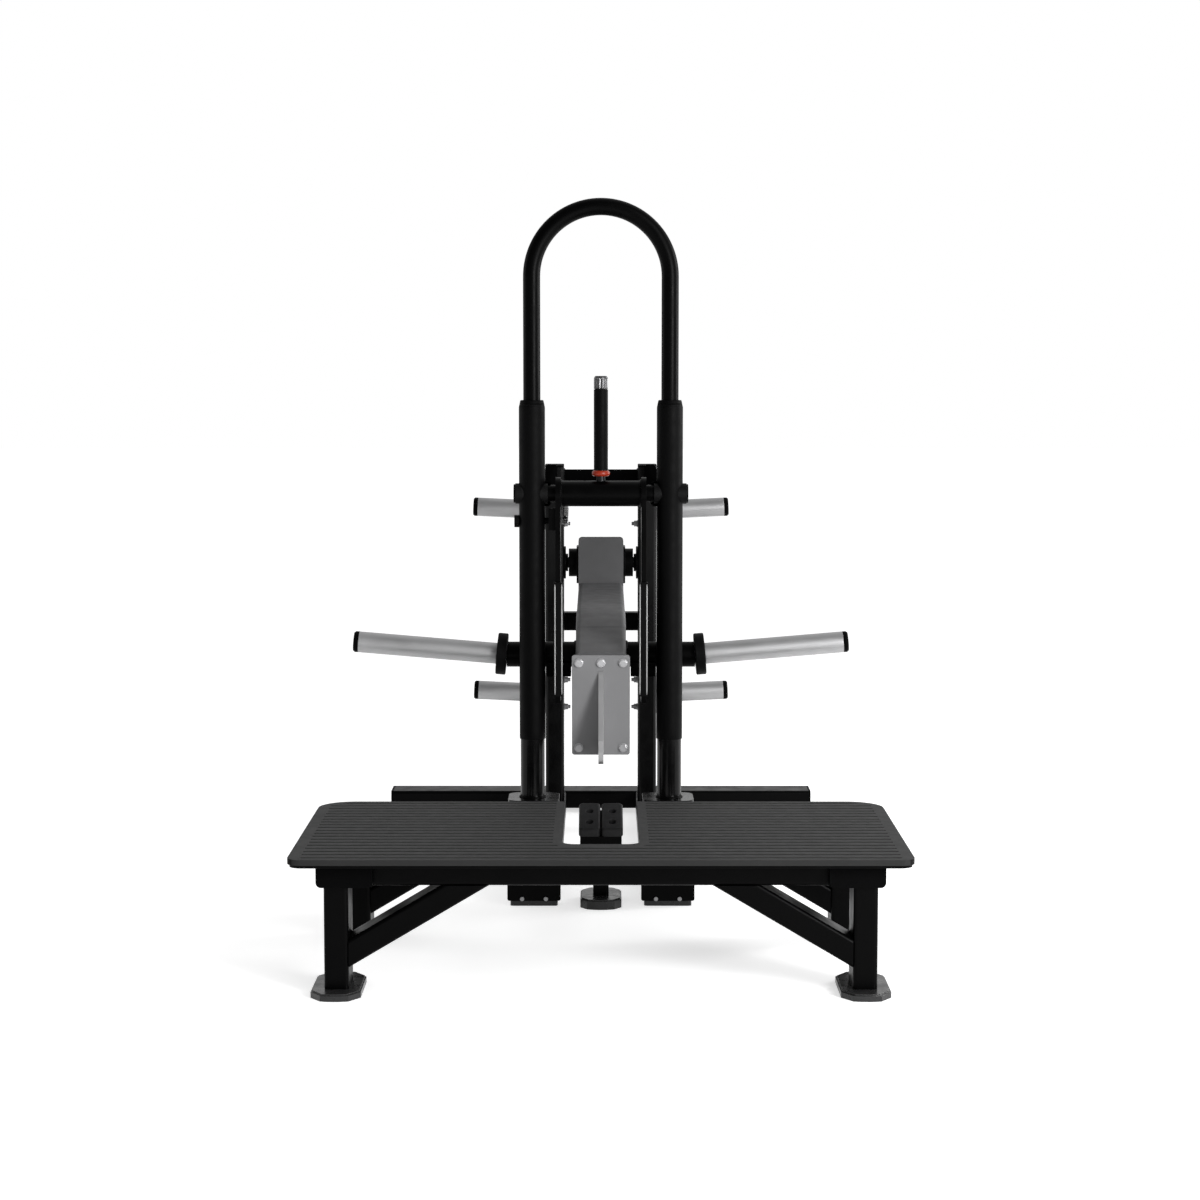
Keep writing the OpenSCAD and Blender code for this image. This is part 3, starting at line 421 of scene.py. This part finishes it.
# Near and far X, both Y, and Z, on the right side
UPRIGHT_SEAM = (0.0998, 0.1502, 0.7388, 0.8392, 0.0725)
LEG_SEAMS = ((0.5107, 0.5613, -1.0783, -0.9777, 0.2272),
             (0.5107, 0.5613, -0.5743, -0.4737, 0.2272))
# X, both Y and both Z
BEAM_SEAMS = ((0.0975, -0.1973, -0.1467, 0.0875, 0.1385),
              (0.0995, 0.7637, 0.8143, 0.9367, 0.9873))
# Centres of the round seams on the lever's and the arm's cross tube
LEVER_SEAM = (0.0935, POST_Y, 0.973)
ARM_SEAM = (0.0612, -0.086, 0.585)
TUBE_SEAM_RADIUS = 0.0302


def bead(bm, corners):
    """A closed weld bead with the small waves that the torch leaves."""
    points = []
    for a, b in zip(corners, corners[1:] + corners[:1]):
        a, b = Vector(a), Vector(b)
        n = max(1, round((b - a).length / BEAD_STEP))
        points += [a.lerp(b, i / n) for i in range(n)]
    sweep(bm, points, lambda i: BEAD_RADIUS * (1 + 0.16 * math.sin(i * 2.2)), True, BEAD_SIDES)


def round_seam(centre, axis, radius):
    place = turned(centre, axis)
    return [place @ Vector((radius * math.cos(k), radius * math.sin(k), 0))
            for k in turn(SEAM_POINTS)]


def foot_seam(side, near_x, far_x, y0, y1, z):
    """Round the end of an upright tube, at the height z."""
    x0, x1 = sorted((side * near_x, side * far_x))
    return [(x0, y0, z), (x1, y0, z), (x1, y1, z), (x0, y1, z)]


def beam_seam(x, y0, y1, z0, z1):
    """Round the end of a cross beam, against the face at x."""
    return [(x, y0, z0), (x, y1, z0), (x, y1, z1), (x, y0, z1)]


def weld_beads():
    """Fillet welds: posts, uprights, cross beams and legs; then the lever's and the arm's tube."""
    bm = bmesh.new()
    for side in (-1, 1):
        bead(bm, round_seam((side * POST_X, POST_Y, POST_SEAM_Z), (0, 0, 1), POST_SEAM_RADIUS))
        bead(bm, foot_seam(side, *UPRIGHT_SEAM))
        for x, *rest in BEAM_SEAMS:
            bead(bm, beam_seam(side * x, *rest))
        for seam in LEG_SEAMS:
            bead(bm, foot_seam(side, *seam))
    add_mesh("frame_welds", bm, FRAME_BLACK, "frame")

    for body, (x, y, z) in (("lever", LEVER_SEAM), ("arm", ARM_SEAM)):
        bm = bmesh.new()
        for side in (-1, 1):
            bead(bm, round_seam((side * x, y, z), (1, 0, 0), TUBE_SEAM_RADIUS))
        add_mesh(body + "_welds", bm, FRAME_BLACK, body)


# The lever's grip and guards
RING_BORE = 0.0136
RING_FILLET = 0.0062
FLUTE_DEPTH = 0.11
FLUTE_WAVES = 7  # one wave makes two flutes
GUARD_EDGE_X = (0.0912, 0.1072)
GUARD_EDGE_RADIUS = 0.0015
GUARD_EDGE_STEPS = 40


def grip_ring():
    """The red ring under the release grip, with rounded edges."""
    low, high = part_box("grip_ring")
    inner = (high.x - low.x) / 2 - 0.001 - RING_FILLET
    half = (high.z - low.z - 0.003) / 2
    quarter = [math.pi / 2 * i / 6 for i in range(7)]
    profile = [(RING_BORE, 0.001 - half)]
    profile += [(inner + RING_FILLET * math.sin(k), RING_FILLET * (1 - math.cos(k)) - half)
                for k in quarter]
    profile += [(inner + RING_FILLET * math.cos(k), half - RING_FILLET * (1 - math.sin(k)))
                for k in quarter]
    profile.append((RING_BORE, half - 0.001))
    bm = bmesh.new()
    lathe(bm, profile, Matrix.Translation((low + high) / 2), 64)
    ring = add_mesh("grip_ring_moulded", bm, RING_PLASTIC, "lever")
    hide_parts("grip_ring")


def grip_cap():
    """The fluted steel cap on the release grip."""
    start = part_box("lever_grip")[1].z
    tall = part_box("lever_stem")[1].z - start
    profile = [(0.0142, 0.0002), (0.0162, 0.0016), (0.0164, 0.0045), (0.0164, tall - 0.0062),
               (0.0158, tall - 0.0036), (0.0142, tall - 0.0012), (0.012, tall - 0.0001)]

    def flutes(angle, z):
        if z < 0.003 or z > tall - 0.005:
            return 1
        return 1 - FLUTE_DEPTH * abs(math.sin(angle * FLUTE_WAVES))

    bm = bmesh.new()
    lathe(bm, profile, Matrix.Translation((0, POST_Y, start)), 192, flutes)
    add_mesh("grip_cap", bm, CAP_STEEL, "lever", smooth=False)


def guard_edges():
    """Beads down the front edges of the two rubber guards, light grey as a painted highlight on
    their black rubber.
    """
    low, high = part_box("catch_guards")
    tall = high.z - low.z - 0.008
    bm = bmesh.new()
    for x in GUARD_EDGE_X:
        for side in (-1, 1):
            points = [Vector((side * x, low.y + 0.0003,
                              low.z + 0.004 + tall * i / GUARD_EDGE_STEPS))
                      for i in range(GUARD_EDGE_STEPS + 1)]
            sweep(bm, points,
                  lambda i: GUARD_EDGE_RADIUS * (0.5 if i in (0, GUARD_EDGE_STEPS) else 1.0),
                  False, 12)
    add_mesh("guard_edges", bm, GUARD_EDGE_PAINTED_HIGHLIGHT, "lever")


# The lever's spring, from its pin on the left catch plate to its stud on the left tie
SPRING_FRONT = Vector((-0.085, -0.152, 0.905))
SPRING_BACK = Vector((-0.085, 0.052, 0.957))
COIL_RADIUS = 0.0066
WIRE_RADIUS = 0.0014
HOOK_RADIUS = 0.0062
HOOK_STEPS = 14
COIL_START, COIL_END = 0.026, 0.108
COIL_TURNS = 25
COIL_STEPS = 16
PIN_X = -0.0955
STUD_X = -0.1175
PIN = [(0.001, 0.0), (0.0044, 0.0003), (0.0048, 0.0012), (0.0048, 0.016), (0.0072, 0.0161),
       (0.0075, 0.0168), (0.0075, 0.0182), (0.0068, 0.019), (0.001, 0.0192)]
STUD = [(0.001, 0.0), (0.009, 0.0), (0.009, 0.004), (0.0048, 0.0042), (0.0048, 0.037),
        (0.0072, 0.0371), (0.0075, 0.038), (0.0075, 0.0395), (0.0066, 0.0405), (0.001, 0.0406)]


def return_spring():
    """The extension spring with a hook at each end."""
    front, back = SPRING_FRONT, SPRING_BACK
    out = Vector((1, 0, 0))
    along = (back - front).normalized()
    up = along.cross(out).normalized()
    reach = (back - front).length

    def hook(centre, start_angle, angle):
        return [centre + (along * math.cos(k) + up * math.sin(k)) * HOOK_RADIUS
                for k in (start_angle + angle * i / HOOK_STEPS for i in range(HOOK_STEPS + 1))]

    points = hook(front, math.radians(-60), math.radians(-250))
    points.append(front + along * (COIL_START - 0.006) + up * 0.001)
    steps = COIL_TURNS * COIL_STEPS
    for i in range(steps + 1):
        k = 2 * math.pi * i / COIL_STEPS
        points.append(front + along * (COIL_START + (COIL_END - COIL_START) * i / steps)
                      + (out * math.cos(k) + up * math.sin(k)) * COIL_RADIUS)
    points += [front + along * (COIL_END + 0.006 + (reach - COIL_END - 0.016) * i / 8)
               for i in range(9)]
    points += hook(back, math.radians(-120), math.radians(250))
    bm = bmesh.new()
    sweep(bm, points, lambda i: WIRE_RADIUS, False, 7)
    spring = add_mesh("return_spring", bm, SPRING_STEEL, None)
    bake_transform(spring)


def spring_ends():
    """The pin that rides on the lever, and the stud on the frame."""
    for name, profile, x, at, body in (("spring_pin", PIN, PIN_X, SPRING_FRONT, "lever"),
                                       ("spring_stud", STUD, STUD_X, SPRING_BACK, "frame")):
        bm = bmesh.new()
        lathe(bm, profile, turned((x, at.y, at.z), (1, 0, 0)), 28)
        add_mesh(name, bm, BOLT_STEEL, body)


# The arm's two rubber stop blocks
BLOCK_FRONT_Y, BLOCK_FRONT_Z = -0.221, 0.168
BLOCK_SLOPE = 21.8
BLOCK_FROM_MIDDLE = 0.0015
BLOCK_W, BLOCK_L, BLOCK_T = 0.0505, 0.12, 0.021
BLOCK_CORNER = 0.009
HOLES_Y = (0.034, 0.082)
HOLE_STEPS = 28
# Inset and height of each layer of the block, and radius and height of each ring of a hole
BLOCK_LAYERS = ((0.0012, 0.0), (0.0003, 0.0004), (0.0, 0.0014), (0.0, BLOCK_T - 0.005),
                (0.0003, BLOCK_T - 0.0032), (0.0012, BLOCK_T - 0.0016),
                (0.0026, BLOCK_T - 0.0005), (0.0044, BLOCK_T), (0.0054, BLOCK_T))
HOLE_RINGS = ((0.0108, BLOCK_T), (0.0101, BLOCK_T), (0.0094, BLOCK_T - 0.0005),
              (0.009, BLOCK_T - 0.0014), (0.009, 0.0066), (0.0086, 0.006))


def rounded_outline(width, length, radius, inset):
    """Points of a rounded rectangle from x = 0, y = 0, drawn in by the inset."""
    r = max(0.0008, radius - inset)
    x0, x1 = inset + r, width - inset - r
    y0, y1 = inset + r, length - inset - r
    return [(cx + r * math.cos(math.radians(start + 15 * i)),
             cy + r * math.sin(math.radians(start + 15 * i)))
            for cx, cy, start in ((x1, y1, 0), (x0, y1, 90), (x0, y0, 180), (x1, y0, 270))
            for i in range(7)]


def stop_block(bm, side):
    """One sloping rubber block with rounded edges and two sunk screw holes."""
    place = (Matrix.Translation((0, BLOCK_FRONT_Y, BLOCK_FRONT_Z))
             @ Matrix.Rotation(math.radians(BLOCK_SLOPE), 4, "X"))

    def ring(points, z):
        return [bm.verts.new(place @ Vector((side * (BLOCK_FROM_MIDDLE + x), y, z)))
                for x, y in points]

    layers = [ring(rounded_outline(BLOCK_W, BLOCK_L, BLOCK_CORNER, inset), z)
              for inset, z in BLOCK_LAYERS]
    for a, b in zip(layers, layers[1:]):
        bridge(bm, a, b)
    bm.faces.new(layers[0])
    edges = ring_edges(bm, layers[-1])
    for y in HOLES_Y:
        rims = [ring([(BLOCK_W / 2 + radius * math.cos(k), y + radius * math.sin(k))
                      for k in turn(HOLE_STEPS)], z)
                for radius, z in HOLE_RINGS]
        for a, b in zip(rims, rims[1:]):
            bridge(bm, a, b)
        bm.faces.new(rims[-1])
        edges += ring_edges(bm, rims[0])
    bmesh.ops.triangle_fill(bm, use_beauty=True, edges=edges)


def stop_blocks():
    bm = bmesh.new()
    for side in (-1, 1):
        stop_block(bm, side)
    blocks = add_mesh("stop_blocks_moulded", bm, BUMPER_RUBBER, "frame")
    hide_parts("stop_bumpers")


# The sleeves on the posts
SLEEVE_BORE = 0.0287  # over the post
SLEEVE_NECK = 0.0202  # over the hoop's thinner tube


def sleeve_foam():
    """The two post sleeves, with their short cone at the top and a rounded lip below."""
    for name in ("sleeve_left", "sleeve_right"):
        low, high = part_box(name)
        radius = (high.x - low.x) / 2
        top, foot = high.z, low.z
        profile = [(SLEEVE_BORE, top - 0.008), (SLEEVE_BORE, foot + 0.0006),
                   (SLEEVE_BORE + 0.0005, foot), (radius - 0.001, foot),
                   (radius - 0.0003, foot + 0.0004), (radius, foot + 0.0014)]
        profile += [(radius, foot + 0.02 + (top - foot - 0.05) * i / 8) for i in range(9)]
        profile += [(radius, top - 0.0175), (radius - 0.0003, top - 0.0155),
                    (radius - 0.0033, top - 0.0015), (radius - 0.004, top - 0.0004),
                    (radius - 0.005, top), (SLEEVE_NECK + 0.0006, top),
                    (SLEEVE_NECK, top - 0.0006), (SLEEVE_NECK, top - 0.008)]
        bm = bmesh.new()
        place = Matrix.Translation(((low.x + high.x) / 2, (low.y + high.y) / 2, 0))
        lathe(bm, profile, place, 64, hollow=True)
        sleeve = add_mesh(name + "_foam", bm, SLEEVE_RUBBER, "frame")
        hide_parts(name)


weld_beads()
grip_ring()
grip_cap()
guard_edges()
return_spring()
spring_ends()
stop_blocks()
sleeve_foam()

# Floor, backdrop and light
WHITE = (1, 1, 1, 1)
FLOOR_SIZE = 30
FLOOR_GREY = (0.82, 0.82, 0.82, 1)
FLOOR_GLOW = 0.62
FILL = 0.45


def make_world():
    """White to the camera; mirrors see a studio that is dimmer in front and to the left."""
    world = bpy.data.worlds.new("studio")
    scene.world = world
    n = Tree(world)
    background = n.tree.nodes["Background"]
    n.put(WHITE, background.inputs["Color"])
    ray = n.add("ShaderNodeLightPath").outputs
    axes = n.axes(n.add("ShaderNodeTexCoord").outputs["Generated"])
    seen = n.math("MAXIMUM", ray["Is Camera Ray"], ray["Is Transmission Ray"])
    studio = n.math("MULTIPLY", n.remap(axes["Y"], 0.32, 1.0, -0.5, 0.4),
                    n.remap(axes["X"], 0.4, 1.0, -0.5, 0.1))
    mirrored = n.math("MULTIPLY", ray["Is Glossy Ray"], studio)
    others = n.remap(ray["Is Glossy Ray"], FILL, 0.0, 0.0, 1.0)
    unseen = n.math("ADD", mirrored, others)
    n.put(n.math("MAXIMUM", seen, unseen), background.inputs["Strength"])


def make_floor():
    """A pale floor that takes the shadows; it glows only where it is seen or mirrored."""
    mesh = bpy.data.meshes.new("floor")
    corners = [(x * FLOOR_SIZE, y * FLOOR_SIZE, 0) for x, y in ((-1, -1), (1, -1), (1, 1), (-1, 1))]
    mesh.from_pydata(corners, [], [(0, 1, 2, 3)])
    floor = bpy.data.objects.new("floor", mesh)
    scene.collection.objects.link(floor)
    mat = bpy.data.materials.new("floor")
    n = Tree(mat)
    bsdf = n.tree.nodes["Principled BSDF"]
    n.put(FLOOR_GREY, bsdf.inputs["Base Color"])
    n.put(0.9, bsdf.inputs["Roughness"])
    n.put(0.0, bsdf.inputs["Specular IOR Level"])
    ray = n.add("ShaderNodeLightPath").outputs
    seen = n.math("MAXIMUM", ray["Is Camera Ray"], ray["Is Glossy Ray"])
    seen = n.math("MAXIMUM", seen, ray["Is Transmission Ray"])
    glow = n.add("ShaderNodeEmission")
    n.put(WHITE, glow.inputs["Color"])
    n.put(n.math("MULTIPLY", seen, FLOOR_GLOW), glow.inputs["Strength"])
    both = n.add("ShaderNodeAddShader")
    n.put(bsdf.outputs["BSDF"], both.inputs[0])
    n.put(glow.outputs["Emission"], both.inputs[1])
    n.put(both.outputs["Shader"], n.tree.nodes["Material Output"].inputs["Surface"])
    mesh.materials.append(mat)


def add_light(name, kind, location, target, power):
    light = bpy.data.lights.new(name, kind)
    light.energy = power
    obj = bpy.data.objects.new(name, light)
    obj.location = location
    direction = Vector(target) - Vector(location)
    obj.rotation_euler = direction.to_track_quat("-Z", "Y").to_euler()
    scene.collection.objects.link(obj)
    return light


def add_panel(name, location, target, power, width, height):
    light = add_light(name, "AREA", location, target, power)
    light.shape = "RECTANGLE"
    light.size = width
    light.size_y = height


def add_sun(name, location, target, power, degrees):
    light = add_light(name, "SUN", location, target, power)
    light.angle = math.radians(degrees)


make_world()
make_floor()
add_panel("key", (2.8, -4.2, 1.5), (0, 0, 0.6), 165, 1.3, 1.3)
add_panel("side_right", (3.4, 0.8, 1.6), (0, 0.2, 0.8), 75, 1.0, 2.4)
add_panel("side_left", (-3.6, 1.0, 1.6), (0, 0.2, 0.8), 16, 1.0, 2.4)
add_sun("sky", (2.2, -2.8, 1.9), (0, 0, 0), 0.7, 30)

scene.view_settings.view_transform = "Standard"
